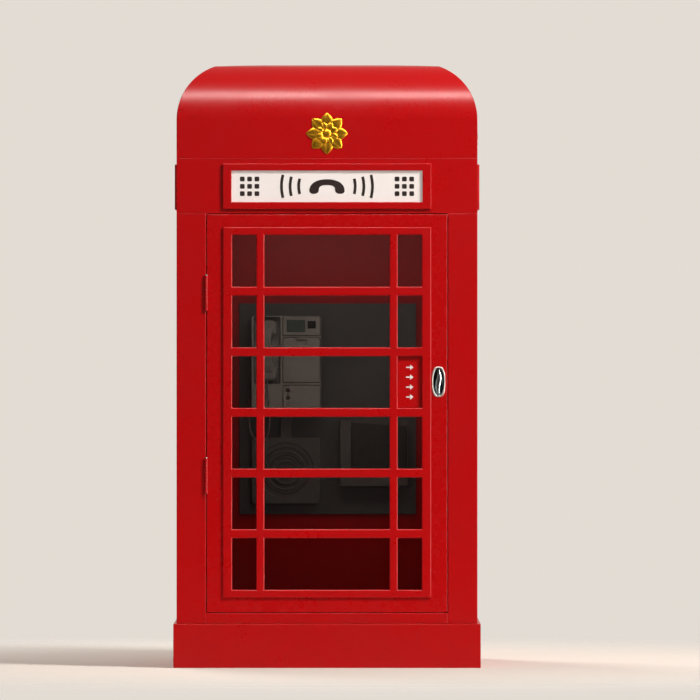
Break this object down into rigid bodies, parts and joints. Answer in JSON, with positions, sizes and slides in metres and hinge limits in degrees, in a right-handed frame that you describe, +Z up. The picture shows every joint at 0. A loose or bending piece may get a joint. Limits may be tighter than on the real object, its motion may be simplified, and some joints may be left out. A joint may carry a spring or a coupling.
{
  "type": "telephone booth",
  "caption": "Square cast-metal telephone booth with a glazed hinged door, lit sign panels, a rounded roof, and a wall payphone with a corded handset inside.",
  "frame": {"origin": "on the ground, in the middle of the base", "axes": "+Z up, the door faces -Y, +X is to the right of someone facing the door"},
  "size_m": [1.43, 1.43, 2.82],
  "materials": {
    "red_enamel": "gloss red enamel on cast iron",
    "red_alloy": "gloss red enamel on cast alloy",
    "red_door": "gloss red enamel on hardwood",
    "red_stop": "red painted hardwood strip",
    "concrete": "cast concrete, trowelled",
    "smoked_glass": "smoked safety glass",
    "opal_glass": "translucent opal glazing",
    "gilt": "gold leaf paint on a casting",
    "white_panel": "opal ceiling sheet",
    "zinc": "zinc plated sheet",
    "lamp_white": "white lamp tube",
    "handle_chrome": "polished chrome",
    "pin_steel": "machined steel",
    "grey_board": "dark grey stoved paint",
    "phone_metal": "satin grey-beige powder coat",
    "display_glass": "clear display window over a dark panel",
    "reader_black": "black moulded plastic",
    "key_metal": "satin steel key cap",
    "handset_grey": "grey moulded plastic",
    "cap_black": "black moulded plastic",
    "cord_steel": "armoured steel hose",
    "duct_grey": "dark grey paint",
    "sounder_grey": "dark grey-beige paint",
    "book_cover": "dark board cover"
  },
  "bodies": {
    "booth": {"plinth": "red_enamel", "floor_slab": "concrete", "threshold": "red_enamel", "corner_post_front_left": "red_enamel", "corner_post_front_right": "red_enamel", "corner_post_rear_left": "red_enamel", "corner_post_rear_right": "red_enamel", "side_frame_left": "red_enamel", "side_frame_right": "red_enamel", "side_glass_left": "smoked_glass", "side_glass_right": "smoked_glass", "back_panel": "red_enamel", "door_stops": "red_stop", "fascia": "red_enamel", "sign_frames": "red_enamel", "sign_glasses": "opal_glass", "roof": "red_enamel", "rosettes": "gilt", "ceiling_panel": "white_panel", "lamp_fitting": "zinc", "lamp_tube": "lamp_white", "hinge_post_leaves": "red_enamel", "hinge_pins": "pin_steel", "backboard": "grey_board", "phone_shell": "phone_metal", "display_lens": "display_glass", "card_reader": "reader_black", "cord_gland": "pin_steel", "handset_cord": "cord_steel", "cable_duct": "duct_grey", "sounder": "sounder_grey", "directory_holder": "duct_grey"},
    "door": {"door_leaf": "red_door", "glazing_frame": "red_alloy", "door_glass": "smoked_glass", "door_beads": "red_alloy", "pull_plate": "red_enamel", "handle_cup": "handle_chrome", "handle_grip": "handle_chrome", "hinge_door_leaves": "red_enamel"},
    "keypad_cover": {"keypad_cover": "phone_metal"},
    "key_1": {"key_1": "key_metal"},
    "key_2": {"key_2": "key_metal"},
    "key_3": {"key_3": "key_metal"},
    "key_4": {"key_4": "key_metal"},
    "key_5": {"key_5": "key_metal"},
    "key_6": {"key_6": "key_metal"},
    "key_7": {"key_7": "key_metal"},
    "key_8": {"key_8": "key_metal"},
    "key_9": {"key_9": "key_metal"},
    "key_star": {"key_star": "key_metal"},
    "key_0": {"key_0": "key_metal"},
    "key_hash": {"key_hash": "key_metal"},
    "service_door": {"service_door": "phone_metal"},
    "lock_upper": {"lock_upper": "pin_steel"},
    "lock_lower": {"lock_lower": "pin_steel"},
    "handset": {"handset_grip": "handset_grey", "handset_caps": "cap_black"},
    "hook_lever": {"hook_lever": "pin_steel"},
    "directory_book": {"directory_book": "book_cover"}
  },
  "joints": [
    {"name": "door_hinge", "type": "hinge", "parent": "booth", "child": "door", "pos_m": [-0.5615, -0.7073, 1], "axis": [0, 0, -1], "range_deg": [0, 100], "stiffness_Nm_per_rad": 8},
    {"name": "keypad_cover_hinge", "type": "hinge", "parent": "booth", "child": "keypad_cover", "pos_m": [-0.1245, 0.4777, 1.325], "axis": [1, 0, 0], "range_deg": [0, 105], "stiffness_Nm_per_rad": 2.5},
    {"name": "service_door_hinge", "type": "hinge", "parent": "booth", "child": "service_door", "pos_m": [-0.037, 0.4777, 1.2545], "axis": [0, 0, 1], "range_deg": [0, 100]},
    {"name": "lock_upper_turn", "type": "hinge", "parent": "service_door", "child": "lock_upper", "pos_m": [-0.188, 0.4777, 1.287], "axis": [0, 1, 0], "range_deg": [0, 90]},
    {"name": "lock_lower_turn", "type": "hinge", "parent": "service_door", "child": "lock_lower", "pos_m": [-0.188, 0.4777, 1.251], "axis": [0, 1, 0], "range_deg": [0, 90]},
    {"name": "handset_lift", "type": "slide", "parent": "booth", "child": "handset", "axis": [0, -0.9659, 0.2588], "range_m": [0, 0.15]},
    {"name": "hook_lever_pivot", "type": "hinge", "parent": "booth", "child": "hook_lever", "pos_m": [-0.288, 0.54, 1.5397], "axis": [1, 0, 0], "range_deg": [0, 8], "stiffness_Nm_per_rad": 4},
    {"name": "directory_lift", "type": "slide", "parent": "booth", "child": "directory_book", "axis": [0, 0, 1], "range_m": [0, 0.31]},
    {"name": "key_1_press", "type": "slide", "parent": "booth", "child": "key_1", "axis": [0, 1, 0], "range_m": [0, 0.003], "stiffness_N_per_m": 400},
    {"name": "key_2_press", "type": "slide", "parent": "booth", "child": "key_2", "axis": [0, 1, 0], "range_m": [0, 0.003], "stiffness_N_per_m": 400},
    {"name": "key_3_press", "type": "slide", "parent": "booth", "child": "key_3", "axis": [0, 1, 0], "range_m": [0, 0.003], "stiffness_N_per_m": 400},
    {"name": "key_4_press", "type": "slide", "parent": "booth", "child": "key_4", "axis": [0, 1, 0], "range_m": [0, 0.003], "stiffness_N_per_m": 400},
    {"name": "key_5_press", "type": "slide", "parent": "booth", "child": "key_5", "axis": [0, 1, 0], "range_m": [0, 0.003], "stiffness_N_per_m": 400},
    {"name": "key_6_press", "type": "slide", "parent": "booth", "child": "key_6", "axis": [0, 1, 0], "range_m": [0, 0.003], "stiffness_N_per_m": 400},
    {"name": "key_7_press", "type": "slide", "parent": "booth", "child": "key_7", "axis": [0, 1, 0], "range_m": [0, 0.003], "stiffness_N_per_m": 400},
    {"name": "key_8_press", "type": "slide", "parent": "booth", "child": "key_8", "axis": [0, 1, 0], "range_m": [0, 0.003], "stiffness_N_per_m": 400},
    {"name": "key_9_press", "type": "slide", "parent": "booth", "child": "key_9", "axis": [0, 1, 0], "range_m": [0, 0.003], "stiffness_N_per_m": 400},
    {"name": "key_star_press", "type": "slide", "parent": "booth", "child": "key_star", "axis": [0, 1, 0], "range_m": [0, 0.003], "stiffness_N_per_m": 400},
    {"name": "key_0_press", "type": "slide", "parent": "booth", "child": "key_0", "axis": [0, 1, 0], "range_m": [0, 0.003], "stiffness_N_per_m": 400},
    {"name": "key_hash_press", "type": "slide", "parent": "booth", "child": "key_hash", "axis": [0, 1, 0], "range_m": [0, 0.003], "stiffness_N_per_m": 400}
  ]
}
